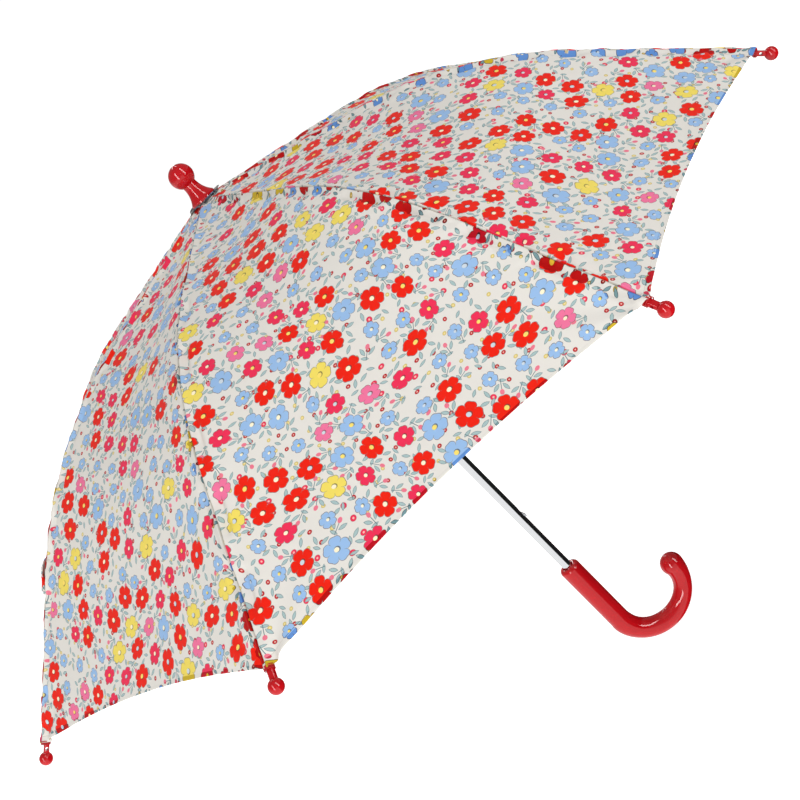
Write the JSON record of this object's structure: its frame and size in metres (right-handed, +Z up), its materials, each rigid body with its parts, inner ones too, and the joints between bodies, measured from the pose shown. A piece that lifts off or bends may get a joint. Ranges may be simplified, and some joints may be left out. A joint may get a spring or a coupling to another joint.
{
  "type": "children's umbrella",
  "caption": "Children's stick umbrella, open: domed fabric canopy on hinged ribs and stretchers, sliding runner, straight shaft and crook handle.",
  "frame": {"origin": "on the shaft's axis, level with the lowest point of the handle's crook", "axes": "+Z up the shaft towards the ferrule, +X from the grip towards the crook's free end"},
  "size_m": [0.6556, 0.6556, 0.5347],
  "materials": {
    "red_plastic": "gloss",
    "chrome_tube": "polished",
    "plated_steel": "satin",
    "grey_plastic": "matte",
    "print_cloth": "plain weave",
    "rosette_cloth": "plain weave"
  },
  "bodies": {
    "root": {"shaft": "chrome_tube", "handle": "red_plastic", "ferrule": "red_plastic", "top_notch": "grey_plastic", "top_wire": "plated_steel", "outer_rosette": "rosette_cloth", "inner_rosette": "print_cloth"},
    "rib_1": {"rib_1": "plated_steel", "rib_tip_1": "red_plastic", "rivet_1": "plated_steel"},
    "rib_2": {"rib_2": "plated_steel", "rib_tip_2": "red_plastic", "rivet_2": "plated_steel"},
    "rib_3": {"rib_3": "plated_steel", "rib_tip_3": "red_plastic", "rivet_3": "plated_steel"},
    "rib_4": {"rib_4": "plated_steel", "rib_tip_4": "red_plastic", "rivet_4": "plated_steel"},
    "rib_5": {"rib_5": "plated_steel", "rib_tip_5": "red_plastic", "rivet_5": "plated_steel"},
    "rib_6": {"rib_6": "plated_steel", "rib_tip_6": "red_plastic", "rivet_6": "plated_steel"},
    "rib_7": {"rib_7": "plated_steel", "rib_tip_7": "red_plastic", "rivet_7": "plated_steel"},
    "rib_8": {"rib_8": "plated_steel", "rib_tip_8": "red_plastic", "rivet_8": "plated_steel"},
    "stretcher_1": {"stretcher_1": "plated_steel"},
    "stretcher_2": {"stretcher_2": "plated_steel"},
    "stretcher_3": {"stretcher_3": "plated_steel"},
    "stretcher_4": {"stretcher_4": "plated_steel"},
    "stretcher_5": {"stretcher_5": "plated_steel"},
    "stretcher_6": {"stretcher_6": "plated_steel"},
    "stretcher_7": {"stretcher_7": "plated_steel"},
    "stretcher_8": {"stretcher_8": "plated_steel"},
    "runner": {"runner": "grey_plastic", "runner_wire": "plated_steel"},
    "panel_1_left": {"panel_1_left": "print_cloth"},
    "panel_1_right": {"panel_1_right": "print_cloth"},
    "panel_2_left": {"panel_2_left": "print_cloth"},
    "panel_2_right": {"panel_2_right": "print_cloth"},
    "panel_3_left": {"panel_3_left": "print_cloth"},
    "panel_3_right": {"panel_3_right": "print_cloth"},
    "panel_4_left": {"panel_4_left": "print_cloth"},
    "panel_4_right": {"panel_4_right": "print_cloth", "closing_strap": "print_cloth"},
    "panel_5_left": {"panel_5_left": "print_cloth"},
    "panel_5_right": {"panel_5_right": "print_cloth"},
    "panel_6_left": {"panel_6_left": "print_cloth"},
    "panel_6_right": {"panel_6_right": "print_cloth"},
    "panel_7_left": {"panel_7_left": "print_cloth"},
    "panel_7_right": {"panel_7_right": "print_cloth"},
    "panel_8_left": {"panel_8_left": "print_cloth"},
    "panel_8_right": {"panel_8_right": "print_cloth"},
    "top_catch": {"top_catch": "plated_steel"},
    "bottom_catch": {"bottom_catch": "plated_steel"}
  },
  "joints": [
    {"name": "fold", "type": "hinge", "parent": "root", "child": "rib_1", "pos_m": [0.00721, 0.00298, 0.49987], "axis": [-0.3827, 0.9239, 0], "range_deg": [0, 62.07]},
    {"name": "rib_2_fold", "type": "hinge", "parent": "root", "child": "rib_2", "pos_m": [0.00298, 0.00721, 0.49987], "axis": [-0.9239, 0.3827, 0], "range_deg": [0, 62.07]},
    {"name": "rib_3_fold", "type": "hinge", "parent": "root", "child": "rib_3", "pos_m": [-0.00298, 0.00721, 0.49987], "axis": [-0.9239, -0.3827, 0], "range_deg": [0, 62.07]},
    {"name": "rib_4_fold", "type": "hinge", "parent": "root", "child": "rib_4", "pos_m": [-0.00721, 0.00298, 0.49987], "axis": [-0.3827, -0.9239, 0], "range_deg": [0, 62.07]},
    {"name": "rib_5_fold", "type": "hinge", "parent": "root", "child": "rib_5", "pos_m": [-0.00721, -0.00298, 0.49987], "axis": [0.3827, -0.9239, 0], "range_deg": [0, 62.07]},
    {"name": "rib_6_fold", "type": "hinge", "parent": "root", "child": "rib_6", "pos_m": [-0.00298, -0.00721, 0.49987], "axis": [0.9239, -0.3827, 0], "range_deg": [0, 62.07]},
    {"name": "rib_7_fold", "type": "hinge", "parent": "root", "child": "rib_7", "pos_m": [0.00298, -0.00721, 0.49987], "axis": [0.9239, 0.3827, 0], "range_deg": [0, 62.07]},
    {"name": "rib_8_fold", "type": "hinge", "parent": "root", "child": "rib_8", "pos_m": [0.00721, -0.00298, 0.49987], "axis": [0.3827, 0.9239, 0], "range_deg": [0, 62.07]},
    {"name": "stretcher_1_pivot", "type": "hinge", "parent": "rib_1", "child": "stretcher_1", "pos_m": [0.14964, 0.06198, 0.46484], "axis": [-0.3827, 0.9239, 0], "range_deg": [-124.14, 0]},
    {"name": "stretcher_2_pivot", "type": "hinge", "parent": "rib_2", "child": "stretcher_2", "pos_m": [0.06198, 0.14964, 0.46484], "axis": [-0.9239, 0.3827, 0], "range_deg": [-124.14, 0]},
    {"name": "stretcher_3_pivot", "type": "hinge", "parent": "rib_3", "child": "stretcher_3", "pos_m": [-0.06198, 0.14964, 0.46484], "axis": [-0.9239, -0.3827, 0], "range_deg": [-124.14, 0]},
    {"name": "stretcher_4_pivot", "type": "hinge", "parent": "rib_4", "child": "stretcher_4", "pos_m": [-0.14964, 0.06198, 0.46484], "axis": [-0.3827, -0.9239, 0], "range_deg": [-124.14, 0]},
    {"name": "stretcher_5_pivot", "type": "hinge", "parent": "rib_5", "child": "stretcher_5", "pos_m": [-0.14964, -0.06198, 0.46484], "axis": [0.3827, -0.9239, 0], "range_deg": [-124.14, 0]},
    {"name": "stretcher_6_pivot", "type": "hinge", "parent": "rib_6", "child": "stretcher_6", "pos_m": [-0.06198, -0.14964, 0.46484], "axis": [0.9239, -0.3827, 0], "range_deg": [-124.14, 0]},
    {"name": "stretcher_7_pivot", "type": "hinge", "parent": "rib_7", "child": "stretcher_7", "pos_m": [0.06198, -0.14964, 0.46484], "axis": [0.9239, 0.3827, 0], "range_deg": [-124.14, 0]},
    {"name": "stretcher_8_pivot", "type": "hinge", "parent": "rib_8", "child": "stretcher_8", "pos_m": [0.14964, -0.06198, 0.46484], "axis": [0.3827, 0.9239, 0], "range_deg": [-124.14, 0]},
    {"name": "runner_pivot", "type": "hinge", "parent": "stretcher_1", "child": "runner", "pos_m": [0.00721, 0.00298, 0.42981], "axis": [-0.3827, 0.9239, 0], "range_deg": [0, 62.07]},
    {"name": "panel_1_left_pleat", "type": "hinge", "parent": "rib_1", "child": "panel_1_left", "pos_m": [0.00661, 0.00442, 0.49987], "axis": [-0.6933, -0.515, -0.504], "range_deg": [0, 22.94], "deforming": ["panel_1_left"]},
    {"name": "panel_1_right_pleat", "type": "hinge", "parent": "rib_2", "child": "panel_1_right", "pos_m": [0.00442, 0.00661, 0.49987], "axis": [0.515, 0.6933, 0.504], "range_deg": [0, 22.94], "deforming": ["panel_1_right"]},
    {"name": "panel_2_left_pleat", "type": "hinge", "parent": "rib_2", "child": "panel_2_left", "pos_m": [0.00155, 0.0078, 0.49987], "axis": [-0.1261, -0.8544, -0.504], "range_deg": [0, 22.94], "deforming": ["panel_2_left"]},
    {"name": "panel_2_right_pleat", "type": "hinge", "parent": "rib_3", "child": "panel_2_right", "pos_m": [-0.00155, 0.0078, 0.49987], "axis": [-0.1261, 0.8544, 0.504], "range_deg": [0, 22.94], "deforming": ["panel_2_right"]},
    {"name": "panel_3_left_pleat", "type": "hinge", "parent": "rib_3", "child": "panel_3_left", "pos_m": [-0.00442, 0.00661, 0.49987], "axis": [0.515, -0.6933, -0.504], "range_deg": [0, 22.94], "deforming": ["panel_3_left"]},
    {"name": "panel_3_right_pleat", "type": "hinge", "parent": "rib_4", "child": "panel_3_right", "pos_m": [-0.00661, 0.00442, 0.49987], "axis": [-0.6933, 0.515, 0.504], "range_deg": [0, 22.94], "deforming": ["panel_3_right"]},
    {"name": "panel_4_left_pleat", "type": "hinge", "parent": "rib_4", "child": "panel_4_left", "pos_m": [-0.0078, 0.00155, 0.49987], "axis": [0.8544, -0.1261, -0.504], "range_deg": [0, 22.94], "deforming": ["panel_4_left"]},
    {"name": "panel_4_right_pleat", "type": "hinge", "parent": "rib_5", "child": "panel_4_right", "pos_m": [-0.0078, -0.00155, 0.49987], "axis": [-0.8544, -0.1261, 0.504], "range_deg": [0, 22.94], "deforming": ["panel_4_right", "closing_strap"]},
    {"name": "panel_5_left_pleat", "type": "hinge", "parent": "rib_5", "child": "panel_5_left", "pos_m": [-0.00661, -0.00442, 0.49987], "axis": [0.6933, 0.515, -0.504], "range_deg": [0, 22.94], "deforming": ["panel_5_left"]},
    {"name": "panel_5_right_pleat", "type": "hinge", "parent": "rib_6", "child": "panel_5_right", "pos_m": [-0.00442, -0.00661, 0.49987], "axis": [-0.515, -0.6933, 0.504], "range_deg": [0, 22.94], "deforming": ["panel_5_right"]},
    {"name": "panel_6_left_pleat", "type": "hinge", "parent": "rib_6", "child": "panel_6_left", "pos_m": [-0.00155, -0.0078, 0.49987], "axis": [0.1261, 0.8544, -0.504], "range_deg": [0, 22.94], "deforming": ["panel_6_left"]},
    {"name": "panel_6_right_pleat", "type": "hinge", "parent": "rib_7", "child": "panel_6_right", "pos_m": [0.00155, -0.0078, 0.49987], "axis": [0.1261, -0.8544, 0.504], "range_deg": [0, 22.94], "deforming": ["panel_6_right"]},
    {"name": "panel_7_left_pleat", "type": "hinge", "parent": "rib_7", "child": "panel_7_left", "pos_m": [0.00442, -0.00661, 0.49987], "axis": [-0.515, 0.6933, -0.504], "range_deg": [0, 22.94], "deforming": ["panel_7_left"]},
    {"name": "panel_7_right_pleat", "type": "hinge", "parent": "rib_8", "child": "panel_7_right", "pos_m": [0.00661, -0.00442, 0.49987], "axis": [0.6933, -0.515, 0.504], "range_deg": [0, 22.94], "deforming": ["panel_7_right"]},
    {"name": "panel_8_left_pleat", "type": "hinge", "parent": "rib_8", "child": "panel_8_left", "pos_m": [0.0078, -0.00155, 0.49987], "axis": [-0.8544, 0.1261, -0.504], "range_deg": [0, 22.94], "deforming": ["panel_8_left"]},
    {"name": "panel_8_right_pleat", "type": "hinge", "parent": "rib_1", "child": "panel_8_right", "pos_m": [0.0078, 0.00155, 0.49987], "axis": [0.8544, 0.1261, 0.504], "range_deg": [0, 22.94], "deforming": ["panel_8_right"]},
    {"name": "top_catch_press", "type": "slide", "parent": "root", "child": "top_catch", "axis": [1, 0, 0], "range_m": [-0.0015, 0], "stiffness_N_per_m": 500},
    {"name": "bottom_catch_press", "type": "slide", "parent": "root", "child": "bottom_catch", "axis": [1, 0, 0], "range_m": [-0.0015, 0], "stiffness_N_per_m": 500}
  ],
  "couplings": [
    {"joint": "rib_2_fold", "follows": "fold", "ratio": 1},
    {"joint": "rib_3_fold", "follows": "fold", "ratio": 1},
    {"joint": "rib_4_fold", "follows": "fold", "ratio": 1},
    {"joint": "rib_5_fold", "follows": "fold", "ratio": 1},
    {"joint": "rib_6_fold", "follows": "fold", "ratio": 1},
    {"joint": "rib_7_fold", "follows": "fold", "ratio": 1},
    {"joint": "rib_8_fold", "follows": "fold", "ratio": 1},
    {"joint": "stretcher_1_pivot", "follows": "fold", "ratio": -2},
    {"joint": "stretcher_2_pivot", "follows": "fold", "ratio": -2},
    {"joint": "stretcher_3_pivot", "follows": "fold", "ratio": -2},
    {"joint": "stretcher_4_pivot", "follows": "fold", "ratio": -2},
    {"joint": "stretcher_5_pivot", "follows": "fold", "ratio": -2},
    {"joint": "stretcher_6_pivot", "follows": "fold", "ratio": -2},
    {"joint": "stretcher_7_pivot", "follows": "fold", "ratio": -2},
    {"joint": "stretcher_8_pivot", "follows": "fold", "ratio": -2},
    {"joint": "runner_pivot", "follows": "fold", "ratio": 1},
    {"joint": "panel_1_left_pleat", "follows": "fold", "ratio": 0.36964},
    {"joint": "panel_1_right_pleat", "follows": "fold", "ratio": 0.36964},
    {"joint": "panel_2_left_pleat", "follows": "fold", "ratio": 0.36964},
    {"joint": "panel_2_right_pleat", "follows": "fold", "ratio": 0.36964},
    {"joint": "panel_3_left_pleat", "follows": "fold", "ratio": 0.36964},
    {"joint": "panel_3_right_pleat", "follows": "fold", "ratio": 0.36964},
    {"joint": "panel_4_left_pleat", "follows": "fold", "ratio": 0.36964},
    {"joint": "panel_4_right_pleat", "follows": "fold", "ratio": 0.36964},
    {"joint": "panel_5_left_pleat", "follows": "fold", "ratio": 0.36964},
    {"joint": "panel_5_right_pleat", "follows": "fold", "ratio": 0.36964},
    {"joint": "panel_6_left_pleat", "follows": "fold", "ratio": 0.36964},
    {"joint": "panel_6_right_pleat", "follows": "fold", "ratio": 0.36964},
    {"joint": "panel_7_left_pleat", "follows": "fold", "ratio": 0.36964},
    {"joint": "panel_7_right_pleat", "follows": "fold", "ratio": 0.36964},
    {"joint": "panel_8_left_pleat", "follows": "fold", "ratio": 0.36964},
    {"joint": "panel_8_right_pleat", "follows": "fold", "ratio": 0.36964}
  ]
}
